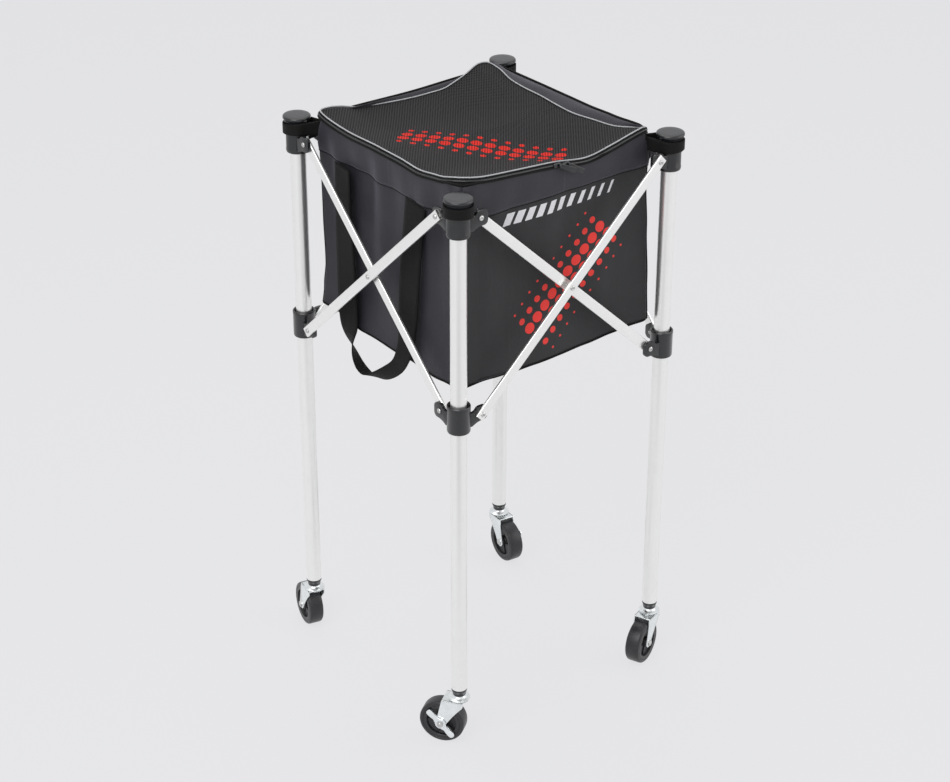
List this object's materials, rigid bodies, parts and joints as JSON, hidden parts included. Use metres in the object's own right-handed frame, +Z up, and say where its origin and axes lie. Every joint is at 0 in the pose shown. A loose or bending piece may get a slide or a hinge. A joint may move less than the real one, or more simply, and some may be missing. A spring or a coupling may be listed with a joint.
{
  "type": "tennis ball hopper",
  "caption": "Folding ball cart: aluminium scissor frame on swivel casters, holding an open fabric bag with a zipped mesh lid and webbing straps.",
  "frame": {"origin": "on the ground, midway between the four leg axes", "axes": "+Z up; +X from the front leg to the right leg; +Y from the front leg to the left leg; the lid hinge is on the +Y side"},
  "size_m": [0.4658, 0.4965, 0.9348],
  "materials": {
    "tube": "satin anodised",
    "bar": "satin",
    "moulding": "satin moulded",
    "plated_steel": "bright zinc plated",
    "pin_steel": "bright",
    "wheel": "satin",
    "bag_cloth": "woven nylon",
    "lid_mesh": "air mesh",
    "webbing": "ribbed webbing"
  },
  "bodies": {
    "leg_front": {"leg_tube_front": "tube", "corner_bracket_front": "moulding", "top_cap_front": "moulding", "caster_stem_front": "plated_steel", "bag": "bag_cloth", "carry_strap_left": "webbing"},
    "leg_right": {"leg_tube_right": "tube", "corner_bracket_right": "moulding", "top_cap_right": "moulding", "caster_stem_right": "plated_steel", "carry_strap_right": "webbing"},
    "leg_back": {"leg_tube_back": "tube", "corner_bracket_back": "moulding", "top_cap_back": "moulding", "caster_stem_back": "plated_steel"},
    "leg_left": {"leg_tube_left": "tube", "corner_bracket_left": "moulding", "top_cap_left": "moulding", "caster_stem_left": "plated_steel"},
    "inner_bar_front_right": {"inner_bar_front_right": "bar"},
    "outer_bar_front_right": {"outer_bar_front_right": "bar"},
    "inner_bar_right_back": {"inner_bar_right_back": "bar"},
    "outer_bar_right_back": {"outer_bar_right_back": "bar"},
    "inner_bar_back_left": {"inner_bar_back_left": "bar"},
    "outer_bar_back_left": {"outer_bar_back_left": "bar"},
    "inner_bar_left_front": {"inner_bar_left_front": "bar"},
    "outer_bar_left_front": {"outer_bar_left_front": "bar"},
    "collar_front": {"slide_collar_front": "moulding"},
    "collar_right": {"slide_collar_right": "moulding"},
    "collar_back": {"slide_collar_back": "moulding"},
    "collar_left": {"slide_collar_left": "moulding"},
    "caster_front": {"caster_fork_front": "plated_steel", "caster_axle_front": "pin_steel"},
    "wheel_front": {"caster_wheel_front": "wheel"},
    "caster_right": {"caster_fork_right": "plated_steel", "caster_axle_right": "pin_steel"},
    "wheel_right": {"caster_wheel_right": "wheel"},
    "caster_back": {"caster_fork_back": "plated_steel", "caster_axle_back": "pin_steel"},
    "wheel_back": {"caster_wheel_back": "wheel"},
    "caster_left": {"caster_fork_left": "plated_steel", "caster_axle_left": "pin_steel"},
    "wheel_left": {"caster_wheel_left": "wheel"},
    "brake_front": {"brake_lever_front": "plated_steel"},
    "brake_back": {"brake_lever_back": "plated_steel"},
    "lid_tape": {"lid_hinge_tape": "webbing"},
    "lid_back": {"lid_back": "lid_mesh"},
    "lid_front": {"lid_front": "lid_mesh"},
    "floor_front": {"bag_floor_front": "bag_cloth"},
    "floor_back": {"bag_floor_back": "bag_cloth"}
  },
  "joints": [
    {"name": "fold", "type": "hinge", "parent": "leg_front", "child": "inner_bar_front_right", "pos_m": [-0.1675, -0.2037, 0.8984], "axis": [0, 1, 0], "range_deg": [0, 35], "deforming": ["bag", "bag_floor_front", "bag_floor_back", "lid_hinge_tape", "lid_back", "lid_front", "carry_strap_left", "carry_strap_right"]},
    {"name": "front_right_crossing", "type": "hinge", "parent": "inner_bar_front_right", "child": "outer_bar_front_right", "pos_m": [0, -0.209, 0.74185], "axis": [0, 1, 0], "range_deg": [-70, 0]},
    {"name": "front_right_far_top_pivot", "type": "hinge", "parent": "outer_bar_front_right", "child": "leg_right", "pos_m": [0.1675, -0.2143, 0.8984], "axis": [0, 1, 0], "range_deg": [0, 35]},
    {"name": "front_right_collar_pivot", "type": "hinge", "parent": "outer_bar_front_right", "child": "collar_front", "pos_m": [-0.1675, -0.2143, 0.5853], "axis": [0, 1, 0], "range_deg": [0, 35]},
    {"name": "right_back_top_pivot", "type": "hinge", "parent": "leg_right", "child": "inner_bar_right_back", "pos_m": [0.2037, -0.1675, 0.8984], "axis": [-1, 0, 0], "range_deg": [0, 35]},
    {"name": "right_back_crossing", "type": "hinge", "parent": "inner_bar_right_back", "child": "outer_bar_right_back", "pos_m": [0.209, 0, 0.74185], "axis": [-1, 0, 0], "range_deg": [-70, 0]},
    {"name": "right_back_far_top_pivot", "type": "hinge", "parent": "outer_bar_right_back", "child": "leg_back", "pos_m": [0.2143, 0.1675, 0.8984], "axis": [-1, 0, 0], "range_deg": [0, 35]},
    {"name": "right_back_collar_pivot", "type": "hinge", "parent": "outer_bar_right_back", "child": "collar_right", "pos_m": [0.2143, -0.1675, 0.5853], "axis": [-1, 0, 0], "range_deg": [0, 35]},
    {"name": "back_left_top_pivot", "type": "hinge", "parent": "leg_back", "child": "inner_bar_back_left", "pos_m": [0.1675, 0.2037, 0.8984], "axis": [0, -1, 0], "range_deg": [0, 35]},
    {"name": "back_left_crossing", "type": "hinge", "parent": "inner_bar_back_left", "child": "outer_bar_back_left", "pos_m": [0, 0.209, 0.74185], "axis": [0, -1, 0], "range_deg": [-70, 0]},
    {"name": "back_left_collar_pivot", "type": "hinge", "parent": "outer_bar_back_left", "child": "collar_back", "pos_m": [0.1675, 0.2143, 0.5853], "axis": [0, -1, 0], "range_deg": [0, 35]},
    {"name": "left_front_top_pivot", "type": "hinge", "parent": "leg_front", "child": "outer_bar_left_front", "pos_m": [-0.2143, -0.1675, 0.8984], "axis": [1, 0, 0], "range_deg": [-35, 0]},
    {"name": "left_front_crossing", "type": "hinge", "parent": "outer_bar_left_front", "child": "inner_bar_left_front", "pos_m": [-0.209, 0, 0.74185], "axis": [1, 0, 0], "range_deg": [0, 70]},
    {"name": "left_front_far_top_pivot", "type": "hinge", "parent": "inner_bar_left_front", "child": "leg_left", "pos_m": [-0.2037, 0.1675, 0.8984], "axis": [1, 0, 0], "range_deg": [-35, 0]},
    {"name": "left_front_collar_pivot", "type": "hinge", "parent": "outer_bar_left_front", "child": "collar_left", "pos_m": [-0.2143, 0.1675, 0.5853], "axis": [1, 0, 0], "range_deg": [0, 35]},
    {"name": "lid_open", "type": "hinge", "parent": "leg_left", "child": "lid_tape", "pos_m": [0, 0.181, 0.9269], "axis": [-1, 0, 0], "range_deg": [0, 120]},
    {"name": "lid_back_crease", "type": "hinge", "parent": "lid_tape", "child": "lid_back", "pos_m": [0, 0.174, 0.9269], "axis": [1, 0, 0], "range_deg": [0, 72]},
    {"name": "lid_middle_crease", "type": "hinge", "parent": "lid_back", "child": "lid_front", "pos_m": [0, 0, 0.9269], "axis": [1, 0, 0], "range_deg": [-143, 0]},
    {"name": "floor_front_crease", "type": "hinge", "parent": "leg_front", "child": "floor_front", "pos_m": [0, -0.1789, 0.6132], "axis": [-1, 0, 0], "range_deg": [0, 71]},
    {"name": "floor_back_crease", "type": "hinge", "parent": "leg_left", "child": "floor_back", "pos_m": [0, 0.1789, 0.6132], "axis": [1, 0, 0], "range_deg": [0, 71]},
    {"name": "caster_front_swivel", "type": "hinge", "parent": "leg_front", "child": "caster_front", "pos_m": [-0.2, -0.2, 0.0808], "axis": [0, 0, 1], "continuous": true},
    {"name": "wheel_front_spin", "type": "hinge", "parent": "caster_front", "child": "wheel_front", "pos_m": [-0.2148, -0.17838, 0.03674], "axis": [-0.8251, -0.565, 0], "continuous": true},
    {"name": "brake_front_press", "type": "hinge", "parent": "caster_front", "child": "brake_front", "pos_m": [-0.2148, -0.17838, 0.03674], "axis": [-0.8251, -0.565, 0], "range_deg": [0, 20]},
    {"name": "caster_right_swivel", "type": "hinge", "parent": "leg_right", "child": "caster_right", "pos_m": [0.2, -0.2, 0.0808], "axis": [0, 0, 1], "continuous": true},
    {"name": "wheel_right_spin", "type": "hinge", "parent": "caster_right", "child": "wheel_right", "pos_m": [0.17561, -0.20956, 0.03674], "axis": [0.3649, -0.9311, 0], "continuous": true},
    {"name": "caster_back_swivel", "type": "hinge", "parent": "leg_back", "child": "caster_back", "pos_m": [0.2, 0.2, 0.0808], "axis": [0, 0, 1], "continuous": true},
    {"name": "wheel_back_spin", "type": "hinge", "parent": "caster_back", "child": "wheel_back", "pos_m": [0.19699, 0.17397, 0.03674], "axis": [0.9934, -0.1149, 0], "continuous": true},
    {"name": "brake_back_press", "type": "hinge", "parent": "caster_back", "child": "brake_back", "pos_m": [0.19699, 0.17397, 0.03674], "axis": [0.9934, -0.1149, 0], "range_deg": [0, 20]},
    {"name": "caster_left_swivel", "type": "hinge", "parent": "leg_left", "child": "caster_left", "pos_m": [-0.2, 0.2, 0.0808], "axis": [0, 0, 1], "continuous": true},
    {"name": "wheel_left_spin", "type": "hinge", "parent": "caster_left", "child": "wheel_left", "pos_m": [-0.19411, 0.22553, 0.03674], "axis": [-0.9744, 0.225, 0], "continuous": true}
  ],
  "couplings": [
    {"joint": "front_right_crossing", "follows": "fold", "ratio": -2},
    {"joint": "front_right_far_top_pivot", "follows": "fold", "ratio": 1},
    {"joint": "front_right_collar_pivot", "follows": "fold", "ratio": 1},
    {"joint": "right_back_top_pivot", "follows": "fold", "ratio": 1},
    {"joint": "right_back_crossing", "follows": "fold", "ratio": -2},
    {"joint": "right_back_far_top_pivot", "follows": "fold", "ratio": 1},
    {"joint": "right_back_collar_pivot", "follows": "fold", "ratio": 1},
    {"joint": "back_left_top_pivot", "follows": "fold", "ratio": 1},
    {"joint": "back_left_crossing", "follows": "fold", "ratio": -2},
    {"joint": "back_left_collar_pivot", "follows": "fold", "ratio": 1},
    {"joint": "left_front_top_pivot", "follows": "fold", "ratio": -1},
    {"joint": "left_front_crossing", "follows": "fold", "ratio": 2},
    {"joint": "left_front_far_top_pivot", "follows": "fold", "ratio": -1},
    {"joint": "left_front_collar_pivot", "follows": "fold", "ratio": 1},
    {"joint": "lid_back_crease", "follows": "fold", "ratio": 2.03},
    {"joint": "lid_middle_crease", "follows": "fold", "ratio": -4.06},
    {"joint": "floor_front_crease", "follows": "fold", "ratio": 2.02},
    {"joint": "floor_back_crease", "follows": "fold", "ratio": 2.02}
  ]
}
